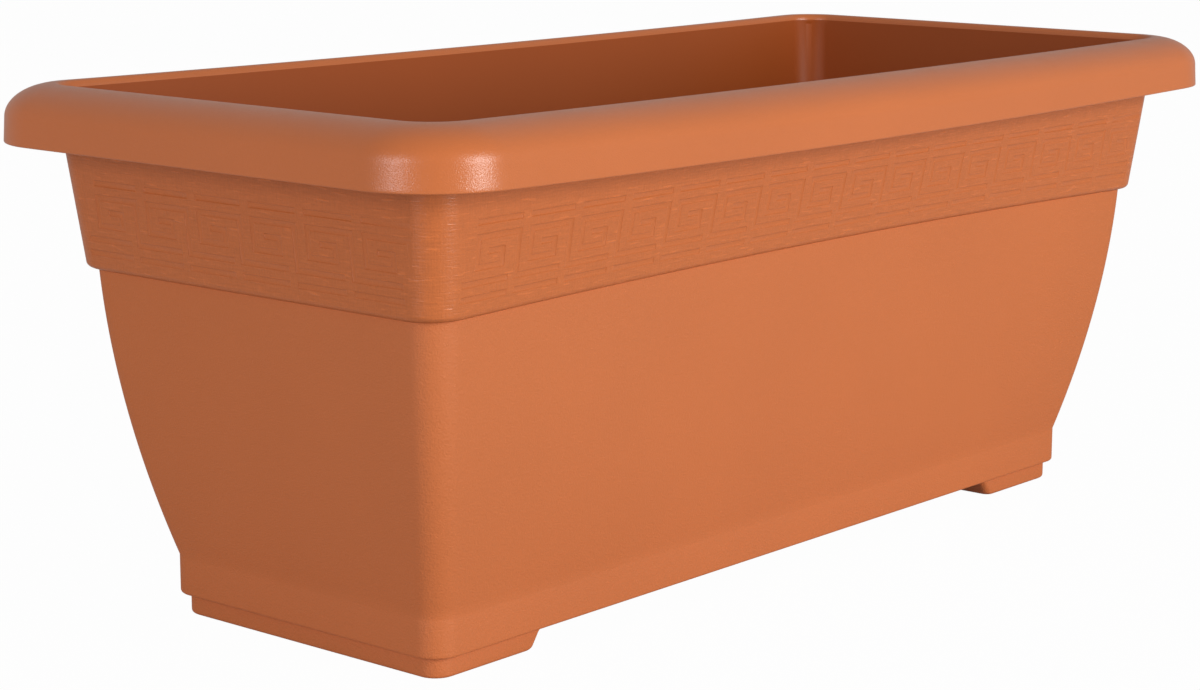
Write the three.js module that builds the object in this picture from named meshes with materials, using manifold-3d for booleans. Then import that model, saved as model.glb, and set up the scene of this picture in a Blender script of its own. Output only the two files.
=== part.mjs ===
// Window box planter: a long moulded trough with a rolled rim, a Greek key frieze, a curved
// lower wall, a plinth and two hollow end feet. Inside, two drainage grids stand on the floor,
// and four push-in plugs close the drain holes from below.
// Millimetres, +Z up, X along the length. The origin is the middle of the footprint.

import * as THREE from "three";
import { mergeVertices } from "three/addons/utils/BufferGeometryUtils.js";
import Module from "manifold-3d";

const wasm = await Module();
wasm.setup();

// ---- overall size ----
const LENGTH = 800;
const WIDTH = 375;
const HEIGHT = 317;
const WALL = 3;
const FIT_GAP = 0.3;

// ---- rolled rim: insets are measured inwards from the rim's outermost edge ----
const RIM_WIDTH = 30;
const RIM_DROP = 33.2;
const RIM_NOSE_HEIGHT = 19;
const RIM_FLARE = 0.8;
const RIM_CORNER_RADIUS = 54;
const LIP_WIDTH = 3.3;
const LIP_HEIGHT = 5;
const RIM_FILLET = 12;
const SKIRT_EDGE = 0.9;

// ---- frieze band under the rim ----
const BAND_HEIGHT = 74;
const BAND_DRAFT = 7.5;
const BAND_EDGE = 4;
const BAND_STEP = 5;
const BAND_RADIUS = 21;
const BAND_WAIST = { inset: 2, rise: 1.4 };

// ---- curved lower wall and plinth ----
const PLINTH_INSET = 76.5;
const PLINTH_TOP = 36.5;
const PLINTH_RADIUS = 17;
const PLINTH_EDGE = 3;
const WALL_STRAIGHT_SHARE = 0.36;

// ---- hollow feet, one across each end ----
const FOOT_HEIGHT = 13;
const FOOT_SETBACK = 5.5;
const FOOT_LENGTH = 80;
const FOOT_SLANT = 9;
const FOOT_OUTER_RADIUS = 13;
const FOOT_INNER_RADIUS = 5;
const FOOT_EDGE = 2.4;

// ---- Greek key frieze, engraved: columns are shares of one key's pitch ----
const KEY_PITCH = 42.5;
const KEY_ROW_PITCH = 8.3;
const KEY_FIRST_ROW = 7;
const KEY_LINE = 3.3;
const KEY_DEPTH = 0.7;
const KEY_RUN_ON = 4;
const KEY_COLUMNS = { side: 0.08, foot: 0.1, left: 0.32, eye: 0.56, hook: 0.79, footEnd: 0.88 };

// ---- gussets under the rim ----
const GUSSET_THICKNESS = 2.5;
const GUSSET_PITCH = 180;

// ---- drain holes and plugs ----
const DRAIN_RADIUS = 7;
const DRAIN_COUNT = 4;
const PLUG_FLANGE_RADIUS = 11;
const PLUG_FLANGE = 2.5;
const PLUG_CHAMFER = 1;
const PLUG_STEM_PROUD = 1.5;
const PLUG_TAPER = 0.5;
const PLUG_WALL = 2;
const PLUG_GRIP_LENGTH = 16;
const PLUG_GRIP_THICKNESS = 2.4;
const PLUG_GRIP_HEIGHT = 5;

// ---- drainage grids ----
const GRID_PLATE = 2.5;
const GRID_CLEARANCE = 1;
const GRID_SKIRT = 6;
const GRID_RIB = 2.5;
const GRID_SLOT_WIDTH = 5;
const GRID_SLOT_LENGTH = 46;
const GRID_SLOT_PITCH_X = 24;
const GRID_SLOT_PITCH_Y = 60;
const GRID_MARGIN = 12;
const GRID_LEG_SPAN = 20;
const GRID_LEG_INSET = 34;

// ---- how far a cutter reaches past what it cuts ----
const CUT_REACH = 1;

// ---- how finely curves are faceted ----
const CORNER_STEPS = 8;
const NOSE_STEPS = 8;
const EDGE_STEPS = 3;
const WALL_STEPS = 8;
const ROUND_STEPS = 20;

// ---- sizes that follow from the ones above ----
const HALF_LENGTH = LENGTH / 2;
const HALF_WIDTH = WIDTH / 2;
const FLOOR_TOP = FOOT_HEIGHT + WALL;
const BAND_TOP = HEIGHT - RIM_DROP;
const BAND_BOTTOM = BAND_TOP - BAND_HEIGHT;
const BAND_FACE_BOTTOM = BAND_BOTTOM + BAND_EDGE;
const BAND_SLOPE = BAND_DRAFT / (BAND_TOP - BAND_FACE_BOTTOM);
const INNER_WALL_INSET = RIM_WIDTH + LIP_WIDTH;
const BAND_INSET = INNER_WALL_INSET - WALL + BAND_SLOPE * (HEIGHT - LIP_HEIGHT - BAND_FACE_BOTTOM);
const LOWER_WALL_INSET = BAND_INSET + BAND_STEP;
const FOOT_INSET = PLINTH_INSET + FOOT_SETBACK;
const RAISED_FLOOR_HALF = HALF_LENGTH - FOOT_INSET - FOOT_LENGTH - FOOT_SLANT;
const GRID_TOP = PLINTH_TOP + WALL / 2;

const terracotta = { color: 0xc1693c, roughness: 0.55, metalness: 0 };
const gridPlastic = { color: 0x9c5230, roughness: 0.6, metalness: 0 };

// ---------- solids ----------

function toManifold(geometry) {
  const plain = geometry.clone();
  plain.deleteAttribute("normal");
  plain.deleteAttribute("uv");
  const merged = mergeVertices(plain);
  return new wasm.Manifold(new wasm.Mesh({
    numProp: 3,
    vertProperties: new Float32Array(merged.attributes.position.array),
    triVerts: new Uint32Array(merged.index.array),
  }));
}

function toGeometry(solid) {
  const mesh = solid.getMesh();
  const geometry = new THREE.BufferGeometry();
  geometry.setAttribute("position", new THREE.BufferAttribute(new Float32Array(mesh.vertProperties), 3));
  geometry.setIndex(new THREE.BufferAttribute(new Uint32Array(mesh.triVerts), 1));
  return geometry;
}

// Points round a rectangle with rounded corners, anticlockwise seen from above.
// The two corners at x0 have the radius r0, and the two at x1 have r1.
function roundedRing({ x0, x1, halfY, r0, r1, z }) {
  const corners = [
    { x: x1 - r1, y: -halfY + r1, r: r1, start: -Math.PI / 2 },
    { x: x1 - r1, y: halfY - r1, r: r1, start: 0 },
    { x: x0 + r0, y: halfY - r0, r: r0, start: Math.PI / 2 },
    { x: x0 + r0, y: -halfY + r0, r: r0, start: Math.PI },
  ];
  const ring = [];
  for (const corner of corners) {
    for (let step = 0; step <= CORNER_STEPS; step += 1) {
      const angle = corner.start + (Math.PI / 2) * (step / CORNER_STEPS);
      const x = corner.x + corner.r * Math.cos(angle);
      const y = corner.y + corner.r * Math.sin(angle);
      ring.push(new THREE.Vector3(x, y, z));
    }
  }
  return ring;
}

// A ring round the whole trough, inset from the rim's outermost edge.
function troughRing({ inset, z, radius }) {
  const halfX = HALF_LENGTH - inset;
  return roundedRing({ x0: -halfX, x1: halfX, halfY: HALF_WIDTH - inset, r0: radius, r1: radius, z });
}

// Joins rings of equal count into one closed skin, with a flat fan over the first and last.
function loft(rings) {
  const count = rings[0].length;
  const positions = rings.flat().flatMap((point) => point.toArray());
  const index = [];
  for (let level = 0; level < rings.length - 1; level += 1) {
    for (let side = 0; side < count; side += 1) {
      const next = (side + 1) % count;
      const a = level * count + side;
      const b = level * count + next;
      index.push(a, b, b + count, a, b + count, a + count);
    }
  }
  const last = (rings.length - 1) * count;
  for (let side = 1; side < count - 1; side += 1) {
    index.push(0, side + 1, side);
    index.push(last, last + side, last + side + 1);
  }
  const geometry = new THREE.BufferGeometry();
  geometry.setAttribute("position", new THREE.Float32BufferAttribute(positions, 3));
  geometry.setIndex(index);
  return geometry;
}

function boxBetween(low, high) {
  const geometry = new THREE.BoxGeometry(high[0] - low[0], high[1] - low[1], high[2] - low[2]);
  geometry.translate((low[0] + high[0]) / 2, (low[1] + high[1]) / 2, (low[2] + high[2]) / 2);
  return geometry;
}

function uprightCylinder(radius, low, high, x, y) {
  const geometry = new THREE.CylinderGeometry(radius, radius, high - low, ROUND_STEPS);
  geometry.rotateX(Math.PI / 2);
  geometry.translate(x, y, (low + high) / 2);
  return geometry;
}

// Places spread evenly between two limits, as many as fit at the given pitch.
function spread(low, high, pitch) {
  const count = Math.max(1, Math.floor((high - low) / pitch + 1));
  const start = (low + high - (count - 1) * pitch) / 2;
  return Array.from({ length: count }, (_, i) => start + i * pitch);
}

// ---------- the trough's section, as stations of inset, height and corner radius ----------

function bandInsetAt(z) {
  return BAND_INSET - BAND_SLOPE * (z - BAND_FACE_BOTTOM);
}

function rimRadiusAt(inset) {
  return RIM_CORNER_RADIUS - inset;
}

// A bottom edge rounded from the flat underside up to the upright face, as cuts and rises.
function roundedEdge(radius) {
  return Array.from({ length: EDGE_STEPS + 1 }, (_, step) => {
    const angle = (Math.PI / 2) * (step / EDGE_STEPS);
    return { cut: radius * (1 - Math.sin(angle)), rise: radius * (1 - Math.cos(angle)) };
  });
}

function plinthEdge(offset, z) {
  return roundedEdge(PLINTH_EDGE).map(({ cut, rise }) => ({
    inset: PLINTH_INSET + offset + cut,
    z: z + rise,
    radius: PLINTH_RADIUS - offset - cut,
  }));
}

// The bulged lower wall, from the plinth up to the step under the band.
function lowerWall(offset, lift) {
  const stations = [];
  for (let step = 0; step <= WALL_STEPS; step += 1) {
    const down = 1 - step / WALL_STEPS;
    const curve = WALL_STRAIGHT_SHARE * down + (1 - WALL_STRAIGHT_SHARE) * down * down;
    stations.push({
      inset: LOWER_WALL_INSET + (PLINTH_INSET - LOWER_WALL_INSET) * curve + offset,
      z: BAND_BOTTOM + (PLINTH_TOP - BAND_BOTTOM) * down + lift,
      radius: BAND_RADIUS + (PLINTH_RADIUS - BAND_RADIUS) * down - offset,
    });
  }
  return stations;
}

// The band's rounded lower edge, which stands proud of the lower wall.
function bandStep(offset, lift) {
  const radius = BAND_RADIUS - offset;
  return [
    { inset: BAND_INSET + BAND_WAIST.inset + offset, z: BAND_BOTTOM + BAND_WAIST.rise + lift, radius },
    { inset: BAND_INSET + offset, z: BAND_FACE_BOTTOM + lift, radius },
  ];
}

// A point on the bullnose: angle 0 is the rim's crest and a quarter turn is the skirt's top.
function noseStation(angle, offset) {
  const inset = RIM_WIDTH - (RIM_WIDTH - RIM_FLARE - offset) * Math.sin(angle);
  const z = HEIGHT - RIM_NOSE_HEIGHT + (RIM_NOSE_HEIGHT - offset) * Math.cos(angle);
  return { inset, z, radius: rimRadiusAt(inset) };
}

function underRim() {
  const wallTop = HEIGHT - RIM_FILLET;
  const filletSteps = 2;
  const stations = [{ inset: bandInsetAt(wallTop), z: wallTop, radius: BAND_RADIUS }];
  for (let step = filletSteps; step <= NOSE_STEPS; step += 1) {
    stations.push(noseStation((Math.PI / 2) * (step / NOSE_STEPS), WALL));
  }
  return stations;
}

function skirtEdge() {
  const edges = [
    [WALL, BAND_TOP + SKIRT_EDGE],
    [WALL - SKIRT_EDGE, BAND_TOP],
    [SKIRT_EDGE, BAND_TOP],
    [0, BAND_TOP + SKIRT_EDGE],
  ];
  return edges.map(([inset, z]) => ({ inset, z, radius: rimRadiusAt(inset) }));
}

function bullnose() {
  const stations = [];
  for (let step = NOSE_STEPS; step >= 0; step -= 1) {
    stations.push(noseStation((Math.PI / 2) * (step / NOSE_STEPS), 0));
  }
  return stations;
}

function innerLip() {
  const stations = [];
  for (let step = 1; step <= EDGE_STEPS; step += 1) {
    const angle = (Math.PI / 2) * (step / EDGE_STEPS);
    const inset = RIM_WIDTH + LIP_WIDTH * Math.sin(angle);
    stations.push({ inset, z: HEIGHT - LIP_HEIGHT * (1 - Math.cos(angle)), radius: rimRadiusAt(inset) });
  }
  return stations;
}

// The whole skin: up the outside, round the rolled rim, and down the inside to the floor.
function troughSkin() {
  const lift = WALL / 2;
  const stations = [
    ...plinthEdge(0, FOOT_HEIGHT),
    ...lowerWall(0, 0),
    ...bandStep(0, 0),
    ...underRim(),
    ...skirtEdge(),
    ...bullnose(),
    ...innerLip(),
    ...bandStep(WALL, lift).reverse(),
    ...lowerWall(WALL, lift).reverse(),
    ...plinthEdge(WALL, FLOOR_TOP).reverse(),
  ];
  return loft(stations.map(troughRing));
}

// ---------- hollow feet ----------

// One foot's outside, or its inside when offset is the wall's thickness, at the end -X.
function footSolid(offset, top) {
  const ring = (z, cut) => roundedRing({
    x0: -HALF_LENGTH + FOOT_INSET + offset + cut,
    x1: -HALF_LENGTH + FOOT_INSET + FOOT_LENGTH + FOOT_SLANT * (z / FOOT_HEIGHT) - offset - cut,
    halfY: HALF_WIDTH - FOOT_INSET - offset - cut,
    r0: FOOT_OUTER_RADIUS - offset - cut,
    r1: FOOT_INNER_RADIUS,
    z,
  });
  const edge = roundedEdge(FOOT_EDGE).map(({ cut, rise }) => ring(offset + rise, cut));
  return loft([...edge, ring(top, 0)]);
}

function addFeet(body) {
  const outsideTop = FOOT_HEIGHT + WALL / 2;
  const pocketTop = FLOOR_TOP + WALL;
  let solid = body;
  for (const turn of [0, Math.PI]) {
    const outside = footSolid(0, outsideTop);
    const pocket = footSolid(WALL, pocketTop);
    outside.rotateZ(turn);
    pocket.rotateZ(turn);
    solid = solid.add(toManifold(outside)).subtract(toManifold(pocket));
  }
  return solid;
}

// ---------- Greek key frieze ----------

// Outline of an upright and level line of the given width, with square ends.
function strokeShape(points, width) {
  const half = width / 2;
  const left = [];
  const right = [];
  points.forEach((point, i) => {
    const before = points[Math.max(i - 1, 0)];
    const after = points[Math.min(i + 1, points.length - 1)];
    const into = i === 0 ? after.clone().sub(point).normalize() : point.clone().sub(before).normalize();
    const out = i === points.length - 1 ? into.clone() : after.clone().sub(point).normalize();
    const normals = [into, out].map((way) => new THREE.Vector2(-way.y, way.x).multiplyScalar(half));
    const isEnd = i === 0 || i === points.length - 1;
    const corner = isEnd ? normals[0] : normals[0].clone().add(normals[1]);
    const cap = isEnd ? into.clone().multiplyScalar(i === 0 ? -half : half) : new THREE.Vector2();
    left.push(point.clone().add(corner).add(cap));
    right.push(point.clone().sub(corner).add(cap));
  });
  return new THREE.Shape([...right, ...left.reverse()]);
}

// The lines of one frieze of the given length, in its own plane: x along it, y up the wall.
function friezeLines(length) {
  const count = Math.max(1, Math.round(length / KEY_PITCH));
  const pitch = length / count;
  const row = (number) => KEY_FIRST_ROW + number * KEY_ROW_PITCH;
  const place = (key, share, number) => new THREE.Vector2(-length / 2 + (key + share) * pitch, row(number));
  const { side, foot, left, eye, hook, footEnd } = KEY_COLUMNS;
  const lines = [[place(0, foot, 1), place(0, footEnd, 1)]];
  for (let key = 0; key < count; key += 1) {
    const spiral = [
      place(key, eye, 3),
      place(key, hook, 3),
      place(key, hook, 2),
      place(key, left, 2),
      place(key, left, 4),
      place(key + 1, side, 4),
      place(key + 1, side, 1),
    ];
    if (key < count - 1) {
      spiral.push(place(key + 1, footEnd, 1));
    }
    lines.push(spiral);
    lines.push([place(key, left, 5), place(key + 1, side, 5)]);
    lines.push([place(key, foot, 0), place(key, footEnd, 0)]);
  }
  return lines;
}

// A frieze's cutters, standing on the sloped wall of a side whose outermost edge is edge away.
function friezeCutter(faceLength, edge, turn) {
  const tilt = Math.atan(BAND_SLOPE);
  const shapes = friezeLines(faceLength).map((line) => strokeShape(line, KEY_LINE));
  const geometry = new THREE.ExtrudeGeometry(shapes, { depth: KEY_DEPTH + CUT_REACH, bevelEnabled: false });
  geometry.translate(0, 0, -KEY_DEPTH);
  geometry.rotateX(Math.PI / 2 + tilt);
  geometry.translate(0, -edge + BAND_INSET, BAND_FACE_BOTTOM);
  geometry.rotateZ(turn);
  return toManifold(geometry);
}

function cutFrieze(body) {
  const corner = BAND_INSET + BAND_RADIUS - KEY_RUN_ON;
  const along = LENGTH - 2 * corner;
  const across = WIDTH - 2 * corner;
  let solid = body;
  for (const turn of [0, Math.PI]) {
    solid = solid.subtract(friezeCutter(along, HALF_WIDTH, turn));
    solid = solid.subtract(friezeCutter(across, HALF_LENGTH, turn + Math.PI / 2));
  }
  return solid;
}

// ---------- gussets under the rolled rim ----------

// One gusset's outline across the hollow rim, from the wall out to the skirt.
function gussetShape() {
  const root = WALL / 2;
  const heights = [BAND_TOP + root, HEIGHT - RIM_FILLET];
  const points = heights.map((z) => new THREE.Vector2(-bandInsetAt(z) - root, z));
  for (let step = 1; step <= NOSE_STEPS; step += 1) {
    const station = noseStation((Math.PI / 2) * (step / NOSE_STEPS), root);
    points.push(new THREE.Vector2(-station.inset, station.z));
  }
  return new THREE.Shape(points.reverse());
}

function gusset(edge, along, turn) {
  const options = { depth: GUSSET_THICKNESS, bevelEnabled: false };
  const geometry = new THREE.ExtrudeGeometry(gussetShape(), options);
  geometry.translate(edge, 0, -GUSSET_THICKNESS / 2);
  geometry.rotateX(Math.PI / 2);
  geometry.translate(0, along, 0);
  geometry.rotateZ(turn);
  return toManifold(geometry);
}

function gussetPlaces(length) {
  const reach = length / 2 - RIM_CORNER_RADIUS;
  return spread(-reach, reach, GUSSET_PITCH);
}

function addGussets(body) {
  let solid = body;
  for (const turn of [0, Math.PI]) {
    for (const along of gussetPlaces(WIDTH)) {
      solid = solid.add(gusset(HALF_LENGTH, along, turn));
    }
    for (const along of gussetPlaces(LENGTH)) {
      solid = solid.add(gusset(HALF_WIDTH, along, turn + Math.PI / 2));
    }
  }
  return solid;
}

// ---------- drain holes and plugs ----------

// The drain holes share the raised floor between the feet evenly.
function drainPlaces() {
  const spacing = (2 * RAISED_FLOOR_HALF) / DRAIN_COUNT;
  return Array.from({ length: DRAIN_COUNT }, (_, i) => (i - (DRAIN_COUNT - 1) / 2) * spacing);
}

function cutDrains(body) {
  let solid = body;
  for (const x of drainPlaces()) {
    const hole = uprightCylinder(DRAIN_RADIUS, FOOT_HEIGHT - WALL, FLOOR_TOP + WALL, x, 0);
    solid = solid.subtract(toManifold(hole));
  }
  return solid;
}

// A hollow push-in plug: a flange under the floor, a tapered cup in the hole and a grip bar.
function plugGeometry() {
  const seat = FOOT_HEIGHT - FIT_GAP;
  const top = FLOOR_TOP + PLUG_STEM_PROUD;
  const under = seat - PLUG_FLANGE;
  const stem = DRAIN_RADIUS - FIT_GAP;
  const bore = stem - PLUG_WALL;
  const profile = [
    [0, under],
    [PLUG_FLANGE_RADIUS - PLUG_CHAMFER, under],
    [PLUG_FLANGE_RADIUS, under + PLUG_CHAMFER],
    [PLUG_FLANGE_RADIUS, seat],
    [stem, seat],
    [stem - PLUG_TAPER, top],
    [bore - PLUG_TAPER, top],
    [bore - PLUG_TAPER, seat],
    [0, seat],
  ];
  const lathe = new THREE.LatheGeometry(profile.map(([r, z]) => new THREE.Vector2(r, z)), ROUND_STEPS);
  lathe.rotateX(Math.PI / 2);
  const halfGrip = PLUG_GRIP_LENGTH / 2;
  const halfBar = PLUG_GRIP_THICKNESS / 2;
  const gripLow = under - PLUG_GRIP_HEIGHT;
  const gripHigh = under + PLUG_CHAMFER;
  const grip = boxBetween([-halfGrip, -halfBar, gripLow], [halfGrip, halfBar, gripHigh]);
  return toGeometry(toManifold(lathe).add(toManifold(grip)));
}

// ---------- drainage grids ----------

function gridOutline() {
  const inset = PLINTH_INSET + WALL + GRID_CLEARANCE;
  return {
    x0: GRID_CLEARANCE / 2,
    x1: HALF_LENGTH - inset,
    halfY: HALF_WIDTH - inset,
    r0: GRID_CLEARANCE + GRID_RIB,
    r1: PLINTH_RADIUS - WALL - GRID_CLEARANCE,
  };
}

// A rounded slab between two heights, drawn in by the given amount all round.
function gridSlab(outline, drawIn, low, high) {
  const size = {
    x0: outline.x0 + drawIn,
    x1: outline.x1 - drawIn,
    halfY: outline.halfY - drawIn,
    r0: outline.r0 - drawIn,
    r1: outline.r1 - drawIn,
  };
  return toManifold(loft([roundedRing({ ...size, z: low }), roundedRing({ ...size, z: high })]));
}

function gridSlots(outline) {
  const halfSlot = GRID_SLOT_LENGTH / 2;
  const xs = spread(outline.x0 + GRID_MARGIN, outline.x1 - GRID_MARGIN, GRID_SLOT_PITCH_X);
  const ys = spread(-outline.halfY + GRID_MARGIN + halfSlot, outline.halfY - GRID_MARGIN - halfSlot,
    GRID_SLOT_PITCH_Y);
  const halfLine = GRID_SLOT_WIDTH / 2;
  const low = GRID_TOP - GRID_PLATE - CUT_REACH;
  const high = GRID_TOP + CUT_REACH;
  const slots = [];
  for (const x of xs) {
    for (const y of ys) {
      const slot = boxBetween([x - halfLine, y - halfSlot, low], [x + halfLine, y + halfSlot, high]);
      slots.push(toManifold(slot));
    }
  }
  return slots;
}

// A leg with a cross section like a plus sign, which stands on the floor or in a foot's pocket.
function gridLeg(x, y) {
  const stand = (x > RAISED_FLOOR_HALF ? WALL : FLOOR_TOP) + FIT_GAP;
  const high = GRID_TOP - GRID_PLATE / 2;
  const long = GRID_LEG_SPAN / 2;
  const thin = GRID_RIB / 2;
  const fin = toManifold(boxBetween([x - long, y - thin, stand], [x + long, y + thin, high]));
  const crossFin = toManifold(boxBetween([x - thin, y - long, stand], [x + thin, y + long, high]));
  return fin.add(crossFin);
}

// Two rows of three legs: near the middle of the trough, over the foot, and halfway between.
function gridLegPlaces(outline) {
  const first = outline.x0 + GRID_LEG_INSET;
  const last = HALF_LENGTH - FOOT_INSET - FOOT_LENGTH / 2;
  const row = outline.halfY - GRID_LEG_INSET;
  return [first, (first + last) / 2, last].flatMap((x) => [[x, -row], [x, row]]);
}

function gridGeometry() {
  const outline = gridOutline();
  const underside = GRID_TOP - GRID_PLATE;
  let solid = gridSlab(outline, 0, underside - GRID_SKIRT, GRID_TOP);
  solid = solid.subtract(gridSlab(outline, GRID_RIB, underside - GRID_SKIRT - CUT_REACH, underside));
  for (const slot of gridSlots(outline)) {
    solid = solid.subtract(slot);
  }
  for (const [x, y] of gridLegPlaces(outline)) {
    solid = solid.add(gridLeg(x, y));
  }
  return toGeometry(solid);
}

// ---------- assembly ----------

function namedMesh(name, geometry, look) {
  const mesh = new THREE.Mesh(geometry, new THREE.MeshStandardMaterial(look));
  mesh.name = name;
  return mesh;
}

function makeTrough() {
  const skin = toManifold(troughSkin());
  const solid = cutFrieze(cutDrains(addFeet(addGussets(skin))));
  return namedMesh("trough", toGeometry(solid), terracotta);
}

function makeGrids() {
  const right = namedMesh("drain_grid_right", gridGeometry(), gridPlastic);
  const left = namedMesh("drain_grid_left", gridGeometry(), gridPlastic);
  left.rotation.z = Math.PI;
  return [left, right];
}

function makePlugs() {
  return drainPlaces().map((x, i) => {
    const plug = namedMesh(`drain_plug_${i + 1}`, plugGeometry(), terracotta);
    plug.position.x = x;
    return plug;
  });
}

const planter = new THREE.Group();
planter.add(makeTrough(), ...makeGrids(), ...makePlugs());

export default planter;
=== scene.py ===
"""Window box planter, dressed for a plain studio picture.

One long moulded trough with a rolled rim, a Greek key frieze, a curved lower wall and two
hollow feet. Two drainage grids stand inside it and four push-in plugs close its drain holes.
Metres, +Z up, X along the length, and the nearer long side is -Y.
"""

import math
from collections import namedtuple
from contextlib import contextmanager

import bmesh
import bpy
import numpy as np
from mathutils import Matrix, Vector


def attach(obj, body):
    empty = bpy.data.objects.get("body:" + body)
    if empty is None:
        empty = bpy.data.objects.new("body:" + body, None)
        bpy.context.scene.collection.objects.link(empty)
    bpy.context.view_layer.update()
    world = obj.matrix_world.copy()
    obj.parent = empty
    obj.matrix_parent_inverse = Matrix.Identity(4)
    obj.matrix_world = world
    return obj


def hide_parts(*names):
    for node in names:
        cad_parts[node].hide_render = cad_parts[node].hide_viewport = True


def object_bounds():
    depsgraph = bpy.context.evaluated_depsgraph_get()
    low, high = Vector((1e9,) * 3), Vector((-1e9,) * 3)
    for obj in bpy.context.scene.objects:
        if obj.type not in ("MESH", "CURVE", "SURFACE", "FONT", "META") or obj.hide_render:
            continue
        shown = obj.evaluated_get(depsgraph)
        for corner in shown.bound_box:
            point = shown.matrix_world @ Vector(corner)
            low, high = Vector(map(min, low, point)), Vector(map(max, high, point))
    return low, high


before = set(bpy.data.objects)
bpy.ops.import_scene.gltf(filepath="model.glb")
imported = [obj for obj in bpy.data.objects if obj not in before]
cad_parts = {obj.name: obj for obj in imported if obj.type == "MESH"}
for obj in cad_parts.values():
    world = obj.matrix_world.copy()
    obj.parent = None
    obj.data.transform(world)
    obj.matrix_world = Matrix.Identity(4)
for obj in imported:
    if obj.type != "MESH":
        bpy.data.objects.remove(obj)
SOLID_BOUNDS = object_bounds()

bl_info = {
    "name": "Window Box Planter",
    "version": (1, 0, 0),
    "blender": (4, 5, 0),
    "location": "3D View > Sidebar > Planter",
    "description": "Builds a moulded window box planter, its drainage grids and its plugs",
    "category": "Object",
}

SOLID_SIZE = SOLID_BOUNDS[1] - SOLID_BOUNDS[0]
QUARTER = math.pi / 2
SHARP_ANGLE = math.radians(30)
SLIVER = 0.00002
CORNER_STEPS = 8

Station = namedtuple("Station", "inset z radius finish")
# The Inside finish takes a darker copy of the terracotta: painted shade for the trough's interior,
# which is the same plastic.
FINISHES = ("Rim", "Band", "Wall", "Inside")
RIM, BAND, WALL, INSIDE = range(len(FINISHES))

# what every tree that goes round the trough is given
ROUND_INPUTS = {
    "Float": "Half Length, Half Width, Side Pitch, End Pitch",
    "Int": "Side Count, End Count",
    "Material": "Material",
}
# the upright lines of one Greek key, as shares of its length
KEY = {"side": 0.08, "foot": 0.1, "left": 0.32, "eye": 0.56, "hook": 0.79, "foot_end": 0.88}
# the frieze's units and the points of a side that each stands on
KEY_TESTS = {
    "Key": lambda index, number: index < number - 1.5,
    "Last Key": lambda index, number: index > number - 1.5,
    "First Foot": lambda index, number: index < 0.5,
}

# the camera, as fitted to the photograph
CAMERA_PLACE = (-1.37039, -1.12977, 0.47498)
CAMERA_TURN = (0.87749, 0.19659, 0.00448)
SENSOR_WIDTH, LENS = 36, 83.223
LENS_SHIFT = (-0.0396, 0.01017)
CLIP_RANGE = (0.05, 50)

# lamps, floor and sky
KEY_PLACE = (0.1, -2.8, 0.78)
FILL_PLACE = (-2.9, -0.25, 0.78)
FILL_TINT = (0.95, 0.93, 1.0)
LAMP_AIM = (0, 0, 0.16)
LAMP_SIZE = (0.5, 1.3)
WHITE = (1, 1, 1, 1)
FLOOR_GREY = (0.5, 0.5, 0.5, 1)
FLOOR_HALF, FLOOR_DROP = 12.0, 0.0002
SHADOW_KEPT = 0.02
FLOOR_SHEEN, SKY_SHEEN = 0.3, 0.45


# ---------- sizes and looks that a user may change ----------


def length(name, description, default):
    """A length in metres."""
    return bpy.props.FloatProperty(
        name=name, description=description, default=default, min=0, precision=4,
        subtype="DISTANCE", unit="LENGTH")


def share(name, description, default):
    """A number from 0 to 1."""
    return bpy.props.FloatProperty(
        name=name, description=description, default=default, min=0, max=1, subtype="FACTOR")


def amount(name, description, default):
    """A plain number."""
    return bpy.props.FloatProperty(name=name, description=description, default=default)


def count(name, description, default):
    """A whole number."""
    return bpy.props.IntProperty(name=name, description=description, default=default, min=1)


def colour(name, description, default):
    """A colour in linear light."""
    return bpy.props.FloatVectorProperty(
        name=name, description=description, default=default, size=3, min=0, max=1, subtype="COLOR")


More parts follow.
